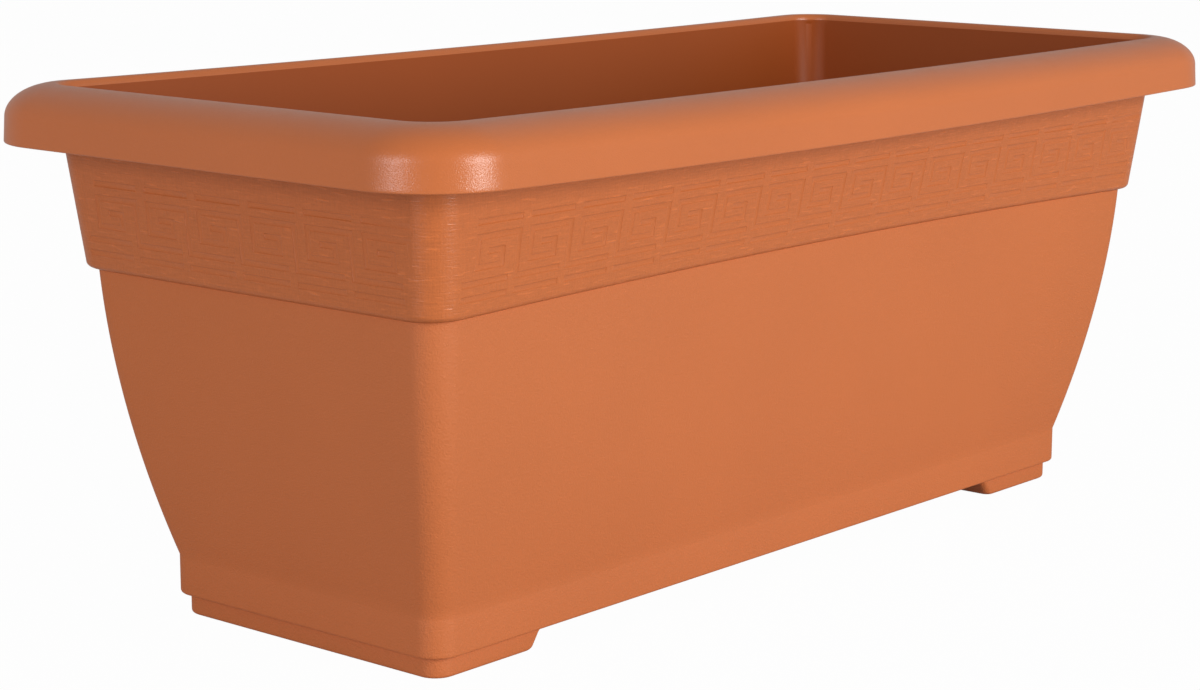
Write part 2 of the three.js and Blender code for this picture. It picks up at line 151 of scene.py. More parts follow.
class TroughSizes(bpy.types.PropertyGroup):
    """Sizes of the moulded trough."""

    length: length("Length", "Over the rim, from end to end", SOLID_SIZE.x)
    width: length("Width", "Over the rim, from front to back", SOLID_SIZE.y)
    height: length("Height", "From the feet's undersides to the rim's crest", SOLID_SIZE.z)
    wall: length("Wall", "Thickness of the moulding", 0.003)
    rim_width: length("Rim width", "From the rim's outer edge in to its crest", 0.03)
    rim_drop: length("Rim drop", "From the crest down to the skirt's edge", 0.0332)
    rim_nose: length("Rim nose", "Height of the rim's rolled part", 0.019)
    rim_flare: length("Rim flare", "How far the skirt spreads towards its edge", 0.0008)
    rim_corner: length("Rim corner", "Corner radius at the rim's outer edge", 0.054)
    rim_fillet: length("Rim fillet", "Where the wall starts to turn into the rim", 0.016)
    lip_width: length("Lip width", "Width of the crest's inner rounding", 0.0033)
    lip_height: length("Lip height", "Height of the crest's inner rounding", 0.005)
    skirt_edge: length("Skirt edge", "Rounding of the skirt's edge", 0.0009)
    band_height: length("Band height", "Height of the frieze band", 0.074)
    band_draft: length("Band draft", "How far the band's face leans over its height", 0.0075)
    band_edge: length("Band edge", "Rounding of the band's lower edge", 0.004)
    band_step: length("Band step", "How far the band stands proud of the lower wall", 0.005)
    band_radius: length("Band corner", "Corner radius of the band", 0.021)
    plinth_inset: length("Plinth inset", "From the rim's outer edge in to the plinth", 0.0765)
    plinth_top: length("Plinth top", "Height where the lower wall starts", 0.0365)
    plinth_radius: length("Plinth corner", "Corner radius of the plinth", 0.017)
    plinth_edge: length("Plinth edge", "Rounding of the plinth's lower edge", 0.0018)
    wall_straight: share("Straight share", "How much of the lower wall's curve is straight", 0.36)
    foot_height: length("Foot height", "Height of the feet", 0.013)
    foot_setback: length("Foot setback", "From the plinth in to the foot", 0.0055)
    foot_length: length("Foot length", "Length of a foot at the ground", 0.08)
    foot_slant: length("Foot slant", "How far the foot's inner end leans", 0.009)
    foot_outer: length("Foot corner", "Corner radius of the foot at the trough's end", 0.013)
    foot_inner: length("Foot inner corner", "Corner radius at the foot's slanted end", 0.005)
    foot_edge: length("Foot edge", "Rounding of the foot's lower edge", 0.0024)
    foot_fillet: length("Foot fillet", "Rounding between slanted end and underside", 0.004)
    gusset: length("Gusset", "Thickness of the gussets under the rim", 0.0025)
    gusset_pitch: length("Gusset pitch", "Distance between gussets", 0.18)
    drain_radius: length("Drain radius", "Radius of the drain holes", 0.007)
    drain_count: count("Drains", "Number of drain holes", 4)
    draw_in: length("Draw-in", "How far the long walls' middles shrink inwards", 0.010)
    lift: length("Band lift", "How far the band's lower edge rises at mid-length", 0.0022)
    sag: length("Rim sag", "How far the long sides' rim sags at mid-length", 0.0016)
    roll: length("Rim roll", "How far the rim's outer edge sags beyond its crest", 0.0023)


class FriezeSizes(bpy.types.PropertyGroup):
    """Sizes of the engraved Greek key frieze."""

    pitch: length("Key pitch", "Length of one key, before it is fitted to its side", 0.0425)
    row_pitch: length("Row pitch", "Distance between the level lines", 0.0083)
    first_row: length("First row", "From the band's lower edge up to the first line", 0.007)
    line: length("Line", "Width of an engraved line", 0.0033)
    depth: length("Depth", "Depth of an engraved line", 0.0005)
    draft: length("Draft", "How much narrower a line is at its bottom, each side", 0.0007)
    run_on: length("Run-on", "How far the frieze runs into the corners", 0.004)


class GridSizes(bpy.types.PropertyGroup):
    """Sizes of the two drainage grids."""

    plate: length("Plate", "Thickness of the grid's plate", 0.0025)
    clearance: length("Clearance", "Gap between the grid and the walls", 0.001)
    skirt: length("Skirt", "Depth of the grid's edge below its plate", 0.006)
    rib: length("Rib", "Thickness of the skirt and legs", 0.0025)
    slot_width: length("Slot width", "Width of a slot", 0.005)
    slot_length: length("Slot length", "Length of a slot", 0.046)
    slot_pitch_x: length("Slot pitch", "Distance between slots along the trough", 0.024)
    slot_pitch_y: length("Row pitch", "Distance between rows of slots", 0.06)
    margin: length("Margin", "From the plate's edge to the first slot", 0.012)
    leg_span: length("Leg span", "Width of a leg's fins", 0.02)
    leg_inset: length("Leg inset", "From the plate's edge in to the legs", 0.034)
    gap: length("Gap", "Gap between pieces that touch", 0.0003)


class PlugSizes(bpy.types.PropertyGroup):
    """Sizes of the push-in drain plugs."""

    flange_radius: length("Flange radius", "Radius of the flange", 0.011)
    flange: length("Flange", "Thickness of the flange", 0.0025)
    proud: length("Stem proud", "How far the stem stands above the floor", 0.0015)
    taper: length("Taper", "How much the stem narrows to its top", 0.0005)
    wall: length("Wall", "Thickness of the stem's wall", 0.002)
    grip_length: length("Grip length", "Length of the grip bar", 0.016)
    grip_thickness: length("Grip thickness", "Thickness of the grip bar", 0.0024)
    grip_height: length("Grip height", "Height of the grip bar", 0.005)
    gap: length("Gap", "Gap between the plug and its hole", 0.0003)


class PlasticLook(bpy.types.PropertyGroup):
    """Colours and finish of the plastics."""

    terracotta: colour("Terracotta", "The trough's plastic", (0.59, 0.158, 0.040))
    # Painted shade: a darker copy of the terracotta that stands in for the shade inside the
    # trough; the moulding is one plastic.
    terracotta_inside: colour("Inside", "The trough's plastic on its inside", (0.37, 0.076, 0.011))
    brown: colour("Brown", "The drainage grids' plastic", (0.33, 0.10, 0.04))
    plug: colour("Plug", "The drain plugs' plastic", (0.50, 0.15, 0.055))
    rim_gloss: share("Rim roughness", "Roughness of the rim", 0.31)
    band_gloss: share("Band roughness", "Roughness of the frieze band", 0.34)
    wall_gloss: share("Wall roughness", "Roughness of the lower wall", 0.62)


class StudioSettings(bpy.types.PropertyGroup):
    """Camera and light."""

    key_power: amount("Key light", "Power of the key light in watts", 59.0)
    fill_power: amount("Fill light", "Power of the fill light in watts", 29.5)
    world_level: amount("Sky level", "Strength of the even light from all round", 0.27)

# ---------- node trees written as Python expressions ----------


class Value:
    """A node's output that reads as a number and adds its Math nodes where it is used."""

    def __init__(self, graph, socket):
        self.graph = graph
        self.socket = socket

    def other(self, name):
        """Another output of the same node."""
        return Value(self.graph, self.socket.node.outputs[name])

    def __add__(self, other):
        return self.graph.maths("ADD", self, other)

    __radd__ = __add__

    def __sub__(self, other):
        return self.graph.maths("SUBTRACT", self, other)

    def __rsub__(self, other):
        return self.graph.maths("SUBTRACT", other, self)

    def __mul__(self, other):
        return self.graph.maths("MULTIPLY", self, other)

    __rmul__ = __mul__

    def __truediv__(self, other):
        return self.graph.maths("DIVIDE", self, other)

    def __floordiv__(self, other):
        return self.graph.maths("FLOOR", self / other)

    def __mod__(self, other):
        return self.graph.maths("FLOORED_MODULO", self, other)

    def __lt__(self, other):
        return self.graph.maths("LESS_THAN", self, other)

    def __gt__(self, other):
        return self.graph.maths("GREATER_THAN", self, other)


class Graph:
    """A node tree that is filled by calls, one for each node."""

    def __init__(self, tree):
        self.tree = tree
        tree.nodes.clear()

    def add(self, kind, inputs=None, output=0, **settings):
        """Adds a node with its settings first, then its sockets' values or links."""
        node = self.tree.nodes.new(kind)
        for name, value in settings.items():
            setattr(node, name, value)
        for key, value in (inputs or {}).items():
            self.feed(node.inputs[key], value)
        return Value(self, node.outputs[output]) if len(node.outputs) else node

    def feed(self, socket, value):
        """Links a value to a socket, or writes it there."""
        if isinstance(value, list):
            for item in reversed(value):
                self.tree.links.new(item.socket, socket)
        elif isinstance(value, Value):
            self.tree.links.new(value.socket, socket)
        else:
            socket.default_value = value

    def maths(self, operation, *values):
        return self.add("ShaderNodeMath", dict(enumerate(values)), operation=operation)

    def clamp(self, value):
        return self.add("ShaderNodeClamp", {0: value})

    def vector(self, x, y, z):
        return self.add("ShaderNodeCombineXYZ", {0: x, 1: y, 2: z})

    def split(self, vector):
        """The three numbers of a vector."""
        x = self.add("ShaderNodeSeparateXYZ", {0: vector})
        return x, x.other("Y"), x.other("Z")


class ShapeTree(Graph):
    """A Geometry Nodes tree, whose inputs are listed by the kind of their sockets."""

    def __init__(self, name, **inputs):
        tree = bpy.data.node_groups.new(name, "GeometryNodeTree")
        super().__init__(tree)
        for way in ("INPUT", "OUTPUT"):
            tree.interface.new_socket("Geometry", in_out=way, socket_type="NodeSocketGeometry")
        for kind, titles in inputs.items():
            for title in titles.split(", "):
                tree.interface.new_socket(title, in_out="INPUT", socket_type=f"NodeSocket{kind}")
        self.given = self.add("NodeGroupInput")

    def input(self, title):
        return self.given.other(title)

    def finish(self, geometry, material=None):
        """Ends the tree in Realize Instances, then Set Material if it isn't painted yet."""
        last = self.add("GeometryNodeRealizeInstances", {"Geometry": geometry})
        if material is not None:
            last = self.add("GeometryNodeSetMaterial", {"Geometry": last, "Material": material})
        self.add("NodeGroupOutput", {"Geometry": last})
        return self.tree


def run_tree(tree, mesh, values):
    """Runs a Geometry Nodes tree on a mesh and gives the plain mesh that comes out."""
    carrier = placed("carrier", mesh)
    modifier = carrier.modifiers.new(tree.name, "NODES")
    modifier.node_group = tree
    for item in tree.interface.items_tree:
        if item.in_out == "INPUT" and item.name in values:
            modifier[item.identifier] = values[item.name]
    result = plain_mesh(carrier)
    bpy.data.objects.remove(carrier)
    return result


# ---------- mesh helpers ----------


def placed(name, data):
    """A new object in the scene."""
    obj = bpy.data.objects.new(name, data)
    bpy.context.scene.collection.objects.link(obj)
    return obj


def plain_mesh(obj):
    """The mesh that an object's modifiers make, with none of them left."""
    bpy.context.view_layer.update()
    depsgraph = bpy.context.evaluated_depsgraph_get()
    return bpy.data.meshes.new_from_object(obj.evaluated_get(depsgraph), depsgraph=depsgraph)


@contextmanager
def edited(mesh):
    """Opens a mesh for changes and writes them back at the end."""
    bm = bmesh.new()
    bm.from_mesh(mesh)
    yield bm
    bm.to_mesh(mesh)
    bm.free()


def arc(steps, first=0):
    """The angles of a quarter turn in even steps."""
    return [QUARTER * step / steps for step in range(first, steps + 1)]


def spread(low, high, pitch):
    """Places spread evenly between two limits, as many as fit at the given pitch."""
    number = max(1, int((high - low) / pitch + 1))
    start = (low + high - (number - 1) * pitch) / 2
    return [start + i * pitch for i in range(number)]


def rounded_ring(x0, x1, half_y, r0, r1, z):
    """Points round a rectangle whose corners have radius r0 at x0 and r1 at x1."""
    corners = [
        (x1 - r1, -half_y + r1, r1, -QUARTER),
        (x1 - r1, half_y - r1, r1, 0),
        (x0 + r0, half_y - r0, r0, QUARTER),
        (x0 + r0, -half_y + r0, r0, 2 * QUARTER),
    ]
    return [(x + radius * math.cos(start + turn), y + radius * math.sin(start + turn), z)
            for x, y, radius, start in corners for turn in arc(CORNER_STEPS)]


def closed_mesh(points, faces):
    """A closed mesh with its faces turned outwards."""
    mesh = bpy.data.meshes.new("solid")
    mesh.from_pydata(points, [], faces)
    with edited(mesh) as bm:
        bmesh.ops.recalc_face_normals(bm, faces=bm.faces)
    return mesh


def loft(rings):
    """A closed mesh through rings of equal count."""
    number = len(rings[0])
    last = (len(rings) - 1) * number
    faces = [tuple(range(number - 1, -1, -1))]
    for level in range(0, last, number):
        for side in range(number):
            a, b = level + side, level + (side + 1) % number
            faces.append((a, b, b + number, a + number))
    faces.append(tuple(range(last, last + number)))
    return closed_mesh([point for ring in rings for point in ring], faces)


def block(low, high, edge):
    """A box between two corners, with its edges rounded."""
    low, high = Vector(low), Vector(high)
    mesh = bpy.data.meshes.new("block")
    with edited(mesh) as bm:
        bmesh.ops.create_cube(bm, size=1)
        bmesh.ops.scale(bm, vec=high - low, verts=bm.verts)
        bmesh.ops.translate(bm, vec=(high + low) / 2, verts=bm.verts)
        bmesh.ops.bevel(bm, geom=bm.edges[:], offset=edge, segments=2, affect="EDGES",
                        profile=0.5)
    return mesh


def turned(profile, steps):
    """A closed solid turned about Z from (radius, z) points that start and end on the axis."""
    inner = profile[1:-1]
    number = len(inner)
    points, faces = [], []
    for i in range(steps):
        angle = 2 * math.pi * i / steps
        points += [(r * math.cos(angle), r * math.sin(angle), z) for r, z in inner]
        a, b = i * number, ((i + 1) % steps) * number
        faces += [(a + k, b + k, b + k + 1, a + k + 1) for k in range(number - 1)]
    faces.append(tuple(i * number for i in range(steps - 1, -1, -1)))
    faces.append(tuple(i * number + number - 1 for i in range(steps)))
    return closed_mesh(points, faces)


def joined(meshes):
    """Several meshes in one, in their own places."""
    whole = bpy.data.meshes.new("joined")
    with edited(whole) as bm:
        for mesh in meshes:
            bm.from_mesh(mesh)
    return whole


def moved(mesh, *matrices):
    """A copy of a mesh for each matrix, joined."""
    copies = [mesh.copy() for _ in matrices]
    for copy, matrix in zip(copies, matrices):
        copy.transform(matrix)
    return joined(copies)


def combined(mesh, *steps):
    """Adds or cuts away closed meshes: each step is an operation's name and a mesh."""
    body = placed("body", mesh)
    tools = []
    for operation, tool_mesh in steps:
        tools.append(placed("tool", tool_mesh))
        modifier = body.modifiers.new(operation, "BOOLEAN")
        modifier.operation, modifier.object = operation, tools[-1]
        modifier.solver, modifier.material_mode = "EXACT", "TRANSFER"
    result = plain_mesh(body)
    for obj in (body, *tools):
        bpy.data.objects.remove(obj)
    return result


def without_slivers(mesh):
    """Closes the slivers that the cuts leave, and splits the faces evenly into triangles."""
    with edited(mesh) as bm:
        bmesh.ops.remove_doubles(bm, verts=bm.verts, dist=SLIVER)
        bmesh.ops.dissolve_degenerate(bm, edges=bm.edges, dist=SLIVER)
        bmesh.ops.triangulate(bm, faces=bm.faces, quad_method="BEAUTY", ngon_method="BEAUTY")
        bmesh.ops.dissolve_degenerate(bm, edges=bm.edges, dist=SLIVER)
    return mesh


def finished(name, mesh, body, nodes):
    """Makes the finished piece: smooth over soft bends, crisp past the sharp angle."""
    mesh.name = name
    mesh.polygons.foreach_set("use_smooth", [True] * len(mesh.polygons))
    mesh.set_sharp_from_angle(angle=SHARP_ANGLE)
    piece = placed(name, mesh)
    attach(piece, body)
    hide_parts(*nodes)


def paint(mesh, *materials):
    """Gives a mesh its materials."""
    mesh.materials.clear()
    for material in materials:
        mesh.materials.append(material)


# ---------- the trough's section ----------


class Section:
    """The trough's section: stations of inset, height and corner radius."""

    flat_ring = (0.004, 0.0008)  # insets of the ring inside the plinth's rounded edge
    step_fall = 0.0006  # how far the step's underside falls below the band to meet the wall
    step_rise = 0.0002  # how far the band's edge stays above the step's underside
    step_share = 0.72  # share of the step that the rounded edge takes up
    fillet_angle = 0.5  # where the rim's fillet meets the nose's inner face
    fillet_rise = 0.009  # the fillet's first handle, up the wall
    fillet_spread = 0.002  # growth of the corner radius along that handle
    fillet_back = (0.0065, 0.0016, -0.004)  # the fillet's last handle

    def __init__(self, sizes):
        self.t = t = sizes
        self.band_top = t.height - t.rim_drop
        self.band_bottom = self.band_top - t.band_height
        self.face_bottom = self.band_bottom + t.band_edge
        self.slope = t.band_draft / (self.band_top - self.face_bottom)
        lip_inset = t.rim_width + t.lip_width
        face_rise = t.height - t.lip_height - self.face_bottom
        self.band_inset = lip_inset - t.wall + self.slope * face_rise
        self.wall_inset = self.band_inset + t.band_step
        self.floor_top = t.foot_height + t.wall

    def face_inset(self, z):
        return self.band_inset - self.slope * (z - self.face_bottom)

    def rim_station(self, inset, z, finish):
        return Station(inset, z, self.t.rim_corner - inset, finish)

    def plinth(self, offset, z, finish):
        """The rounded lower edge of the plinth, with a flat ring inside it."""
        t, edge = self.t, self.t.plinth_edge
        turns = [(edge + flat, 0) for flat in self.flat_ring]
        turns += [(edge * (1 - math.sin(a)), edge * (1 - math.cos(a))) for a in arc(6)]
        return [Station(t.plinth_inset + offset + cut, z + rise,
                        t.plinth_radius - offset - cut, finish) for cut, rise in turns]

    def lower_wall(self, offset, lift, finish, steps):
        """The bulged lower wall, from the plinth up to the step."""
        t = self.t
        top = self.band_bottom - self.step_fall
        stations = []
        for step in range(steps + 1):
            down = 1 - step / steps
            curve = t.wall_straight * down + (1 - t.wall_straight) * down * down
            stations.append(Station(
                self.wall_inset + (t.plinth_inset - self.wall_inset) * curve + offset,
                top + (t.plinth_top - top) * down + lift,
                t.band_radius + (t.plinth_radius - t.band_radius) * down - offset, finish))
        return stations

    def step(self, offset, lift, finish):
        """The band's rounded lower edge, which stands proud of the lower wall."""
        t = self.t
        reach = t.band_step * self.step_share
        return [Station(self.band_inset + reach * (1 - math.sin(angle)) + offset,
                        self.face_bottom - (t.band_edge - self.step_rise) * math.cos(angle) + lift,
                        t.band_radius - offset, finish) for angle in arc(7)]

    def nose(self, angle, offset, finish):
        """A point on the bullnose: 0 is the crest and a quarter turn is the skirt's top."""
        t = self.t
        inset = t.rim_width - (t.rim_width - t.rim_flare - offset) * math.sin(angle)
        z = t.height - t.rim_nose + (t.rim_nose - offset) * math.cos(angle)
        return self.rim_station(inset, z, finish)

    def under_rim(self):
        """The hollow of the rim: a fillet from the wall, then the nose's inner face."""
        t, first = self.t, self.fillet_angle
        low = t.height - t.rim_fillet
        start = np.array((self.face_inset(low), low, t.band_radius))
        end = np.array(self.nose(first, t.wall, WALL)[:3])
        rise = self.fillet_rise
        leave = start + np.array((-self.slope * rise, rise, self.fillet_spread))
        arrive = end + np.array(self.fillet_back)
        stations = []
        for step in range(8):
            s = step / 8
            point = ((1 - s) ** 3 * start + 3 * s * (1 - s) ** 2 * leave
                     + 3 * s * s * (1 - s) * arrive + s ** 3 * end)
            stations.append(Station(*point, WALL))
        turns = range(15)
        return stations + [self.nose(first + (QUARTER - first) * turn / turns[-1], t.wall, WALL)
                           for turn in turns]

    def skirt(self):
        """The skirt's rounded edge, then its outer face up to the nose."""
        t, edge = self.t, self.t.skirt_edge
        turns = [(math.sin(angle), math.cos(angle)) for angle in arc(4)]
        points = [(t.wall - edge * (1 - cos), edge * (1 - sin), WALL) for sin, cos in turns]
        points += [(edge * (1 - sin), edge * (1 - cos), RIM) for sin, cos in turns]
        points += [(t.rim_flare * part, edge + (t.rim_drop - t.rim_nose - edge) * part, RIM)
                   for part in (0.12, 0.5, 0.85)]
        return [self.rim_station(inset, self.band_top + rise, finish)
                for inset, rise, finish in points]

    def lip(self, steps=8):
        """The crest's inner rounding, where the inside's darker colour, painted shade, takes over
        near the end.
        """
        t = self.t
        return [self.rim_station(t.rim_width + t.lip_width * math.sin(angle),
                                 t.height - t.lip_height * (1 - math.cos(angle)),
                                 INSIDE if step > steps - 2 else RIM)
                for step, angle in enumerate(arc(steps, 1), 1)]

    def stations(self):
        """Up the outside, round the rolled rim, and down the inside to the floor."""
        t = self.t
        lift = t.wall / 2
        mid = (self.face_bottom + self.band_top) / 2
        outer_heights = (self.face_bottom + 0.0012, mid, self.band_top + 0.002)
        inner_heights = (t.height - t.lip_height - 0.002, mid + 0.02, self.face_bottom + 0.006)
        return [
            *self.plinth(0, t.foot_height, WALL),
            Station(t.plinth_inset, t.plinth_top - 0.0012, t.plinth_radius, WALL),
            *self.lower_wall(0, 0, WALL, 28),
            *self.step(0, 0, BAND),
            *(Station(self.face_inset(z), z, t.band_radius, BAND) for z in outer_heights),
            *self.under_rim(),
            *self.skirt(),
            *(self.nose(angle, 0, RIM) for angle in arc(24)[::-1]),
            *self.lip(),
            *(Station(self.face_inset(z) + t.wall, z, t.band_radius - t.wall, INSIDE)
              for z in inner_heights),
            *self.step(t.wall, lift, INSIDE)[::-1],
            *self.lower_wall(t.wall, lift, INSIDE, 20)[::-1],
            *self.plinth(t.wall, self.floor_top, INSIDE)[::-1],
        ]


def section_mesh(stations):
    """The section as a line of points that carry their radius, finish and running length."""
    mesh = bpy.data.meshes.new("section")
    points = [(s.inset, 0, s.z) for s in stations]
    mesh.from_pydata(points, [(i, i + 1) for i in range(len(points) - 1)], [])
    steps = [math.dist(a, b) for a, b in zip(points, points[1:])]
    columns = {
        "radius": [s.radius for s in stations],
        "finish": [s.finish for s in stations],
        "along": np.concatenate([[0], np.cumsum(steps)]),
    }
    for name, values in columns.items():
        mesh.attributes.new(name, "FLOAT", "POINT").data.foreach_set("value", np.float32(values))
    return mesh


def trough_tree():
    """Geometry Nodes: carries a section round a rectangle whose corner radius follows it."""
    g = ShapeTree("Trough skin", Float="Half Length, Half Width, Corner Run, End Run, Side Run",
                  Int="Corner Steps, End Steps, Side Steps", Material=", ".join(FINISHES))
    section = g.input("Geometry")
    rows = g.add("GeometryNodeAttributeDomainSize", {"Geometry": section})
    corner, end, side = (g.input(k) for k in ("Corner Steps", "End Steps", "Side Steps"))
    half = corner * 2 + end + side
    grid = g.add("GeometryNodeMeshGrid", {"Vertices X": half * 2 + 1, "Vertices Y": rows})
    index = g.add("GeometryNodeInputIndex")
    row = index % rows
    column = index // rows
    turn_about = column // half
    place = column - turn_about * half
    sign = 1 - (turn_about % 2) * 2

    def sampled(name, at):
        value = g.add("GeometryNodeInputNamedAttribute", {"Name": name}, data_type="FLOAT")
        return g.add("GeometryNodeSampleIndex", {"Geometry": section, "Value": value, "Index": at})

    position = g.add("GeometryNodeInputPosition")
    inset, _, z = g.split(g.add(
        "GeometryNodeSampleIndex", {"Geometry": section, "Value": position, "Index": row},
        data_type="FLOAT_VECTOR"))
    radius = sampled("radius", row)
    first_turn = g.clamp(place / corner)
    along_end = g.clamp((place - corner) / end)
    second_turn = g.clamp((place - corner - end) / corner)
    along_side = g.clamp((place - corner * 2 - end) / side)
    angle = (first_turn + second_turn - 1) * QUARTER
    straight_x = g.input("Half Length") - inset - radius
    straight_y = g.input("Half Width") - inset - radius
    x = (straight_x * (1 - along_side * 2) + radius * g.maths("COSINE", angle)) * sign
    y = (straight_y * (along_end * 2 - 1) + radius * g.maths("SINE", angle)) * sign
    skin = g.add("GeometryNodeSetPosition", {"Geometry": grid, "Position": g.vector(x, y, z)})
    corner_run, end_run, side_run = (g.input(k) for k in ("Corner Run", "End Run", "Side Run"))
    run = ((first_turn + second_turn) * corner_run + along_end * end_run + along_side * side_run
           + turn_about * (corner_run * 2 + end_run + side_run))
    panel = g.add("GeometryNodeFieldOnDomain",
                  {"Value": g.vector(run, sampled("along", row), 0.0)},
                  data_type="FLOAT_VECTOR", domain="POINT")
    skin = g.add("GeometryNodeStoreNamedAttribute",
                 {"Geometry": skin, "Name": "panel", "Value": panel},
                 data_type="FLOAT2", domain="CORNER")
    finish = sampled("finish", index % (rows - 1))
    for number, title in enumerate(FINISHES):
        chosen = g.maths("COMPARE", finish, float(number), 0.1)
        skin = g.add("GeometryNodeSetMaterial",
                     {"Geometry": skin, "Selection": chosen, "Material": g.input(title)})
    skin = g.add("GeometryNodeMergeByDistance", {"Geometry": skin, "Distance": 1e-6})
    return g.finish(skin)


def closed_ends(mesh, under, floor, split):
    """Closes the skin's two open ends, under and over the floor, and turns all faces outwards."""
    materials = list(mesh.materials)
    with edited(mesh) as bm:
        filled = bmesh.ops.holes_fill(bm, edges=[e for e in bm.edges if e.is_boundary])
        for face in filled["faces"]:
            low = face.calc_center_median().z < split
            face.material_index = materials.index(under if low else floor)
        bmesh.ops.recalc_face_normals(bm, faces=bm.faces)
    return mesh


# ---------- feet, gussets and drain holes ----------


def foot_solid(t, offset, low, top):
    """A foot's outside, or its inside when offset is the wall, at the end -X."""
    fillet, edge = t.foot_fillet, t.foot_edge

    def ring(z, cut=0):
        flare = 0.0
        reach = z - (t.foot_height - fillet)
        if not offset and reach > 0:
            flare = fillet - math.sqrt(fillet ** 2 - min(reach, fillet) ** 2)
        start = -t.length / 2 + t.plinth_inset + t.foot_setback
        slant = t.foot_slant * z / t.foot_height + flare
        half_y = t.width / 2 - t.plinth_inset - t.foot_setback - offset - cut
        return rounded_ring(start + offset + cut, start + t.foot_length + slant - offset - cut,
                            half_y, t.foot_outer - offset - cut, t.foot_inner, z)

    rings = [ring(low + edge * (1 - math.cos(a)), edge * (1 - math.sin(a))) for a in arc(5)]
    if not offset:
        rings += [ring(t.foot_height - fillet * (1 - k / 5)) for k in range(5)]
        rings.append(ring(t.foot_height - 0.00005))
    return loft([*rings, ring(top)])


def gusset_solid(t, section):
    """One gusset across the hollow rim, for the front side, whose rim edge is at y = 0."""
    root, half = t.wall / 2, t.gusset / 2
    heights = (section.band_top + root, t.height - t.rim_fillet)
    outline = [(section.face_inset(z) + root, z) for z in heights]
    outline += [section.nose(angle, root, WALL)[:2] for angle in arc(12, 2)]
    return loft([[(x, y, z) for y, z in outline][::-1] for x in (-half, half)])


def all_sides(g, pieces, nominal=None):
    """Instances of pieces on a line of points along each side. A piece comes with a test of
    its point's number, or None where it stands on every point. A nominal pitch stretches it."""
    sides = []
    for quarter in range(4):
        side, across = ("End", "Half Length") if quarter % 2 else ("Side", "Half Width")
        number, pitch = g.input(side + " Count"), g.input(side + " Pitch")
        start = g.vector((number - 1) * pitch * -0.5, 0 - g.input(across), 0.0)
        line = g.add("GeometryNodeMeshLine", {
            "Count": number, "Start Location": start, "Offset": g.vector(pitch, 0.0, 0.0)},
            mode="OFFSET")
        turn = (0.0, 0.0, QUARTER * quarter)
        line = g.add("GeometryNodeTransform", {"Geometry": line, "Rotation": turn})
        index = g.add("GeometryNodeInputIndex")
        scale = g.vector(pitch / nominal, 1.0, 1.0) if nominal else (1.0, 1.0, 1.0)
        for piece, test in pieces:
            inputs = {"Points": line, "Instance": piece, "Rotation": turn, "Scale": scale}
            if test:
                inputs["Selection"] = test(index, number)
            sides.append(g.add("GeometryNodeInstanceOnPoints", inputs))
    return g.add("GeometryNodeJoinGeometry", {"Geometry": sides})


def round_tree():
    """Geometry Nodes: repeats a piece along all four sides of the trough."""
    g = ShapeTree("Repeat round the trough", **ROUND_INPUTS)
    return g.finish(all_sides(g, [(g.input("Geometry"), None)]), g.input("Material"))


def gussets(t, section, material):
    """The gussets under the rim, along all four sides."""
    values = {"Half Length": t.length / 2, "Half Width": t.width / 2, "Material": material}
    for side, size in (("Side", t.length), ("End", t.width)):
        reach = size / 2 - t.rim_corner
        values[side + " Count"] = len(spread(-reach, reach, t.gusset_pitch))
        values[side + " Pitch"] = t.gusset_pitch
    return run_tree(round_tree(), gusset_solid(t, section), values)


def raised_reach(t):
    """Half the length of the raised floor between the feet."""
    return t.length / 2 - t.plinth_inset - t.foot_setback - t.foot_length - t.foot_slant


def drain_places(t):
    """The drain holes share the raised floor between the feet evenly."""
    spacing = 2 * raised_reach(t) / t.drain_count
    return [(i - (t.drain_count - 1) / 2) * spacing for i in range(t.drain_count)]


def drain_cutters(t, section):
    """Drill shapes with a small countersink on both faces of the floor."""
    low, high, r, sink, past = t.foot_height, section.floor_top, t.drain_radius, 0.0004, 0.002
    drill = turned([
        (0, low - past), (r + sink, low - past), (r + sink, low), (r, low + sink),
        (r, high - sink), (r + sink, high), (r + sink, high + past), (0, high + past)], 48)
    return moved(drill, *(Matrix.Translation((x, 0, 0)) for x in drain_places(t)))


# ---------- the Greek key frieze ----------


def stroke_outline(points, half):
    """Outline of an upright and level line with square ends, half to each side."""
    left, right = [], []
    last = len(points) - 1
    for i, point in enumerate(points):
        into = (points[1] - point if i == 0 else point - points[i - 1]).normalized()
        out = (into if i == last else points[i + 1] - point).normalized()
        sides = [Vector((-way.y, way.x)) * half for way in (into, out)]
        corner = sides[0] if i in (0, last) else sides[0] + sides[1]
        cap = into * (-half if i == 0 else half) if i in (0, last) else Vector((0, 0))
        left.append(point + corner + cap)
        right.append(point - corner + cap)
    return right + left[::-1]


def stroke_solid(points, f):
    """A cutter for one engraved line, with drafted sides and a small chamfer at its lip."""
    half, chamfer, past = f.line / 2, 0.0002, 0.001
    levels = [(-f.depth, half - f.draft), (-chamfer, half), (0.0, half + chamfer),
              (past, half + chamfer)]
    return loft([[(p.x, p.y, level) for p in stroke_outline(points, reach)]
                 for level, reach in levels])


def key_units(f):
    """One key, the last key without its run-on, and the foot in front of the first key."""
    def line(*places):
        return [Vector(((key + KEY[column] - 0.5) * f.pitch, f.first_row + row * f.row_pitch))
                for key, column, row in places]

    spiral = line((0, "eye", 3), (0, "hook", 3), (0, "hook", 2), (0, "left", 2),
                  (0, "left", 4), (1, "side", 4), (1, "side", 1))
    dashes = [line((0, "left", 5), (1, "side", 5)), line((0, "foot", 0), (0, "foot_end", 0))]
    run_on = [*spiral, *line((1, "foot_end", 1))]
    foot = line((0, "foot", 1), (0, "foot_end", 1))
    units = ([run_on, *dashes], [spiral, *dashes], [foot])
    return [joined([stroke_solid(stroke, f) for stroke in strokes]) for strokes in units]


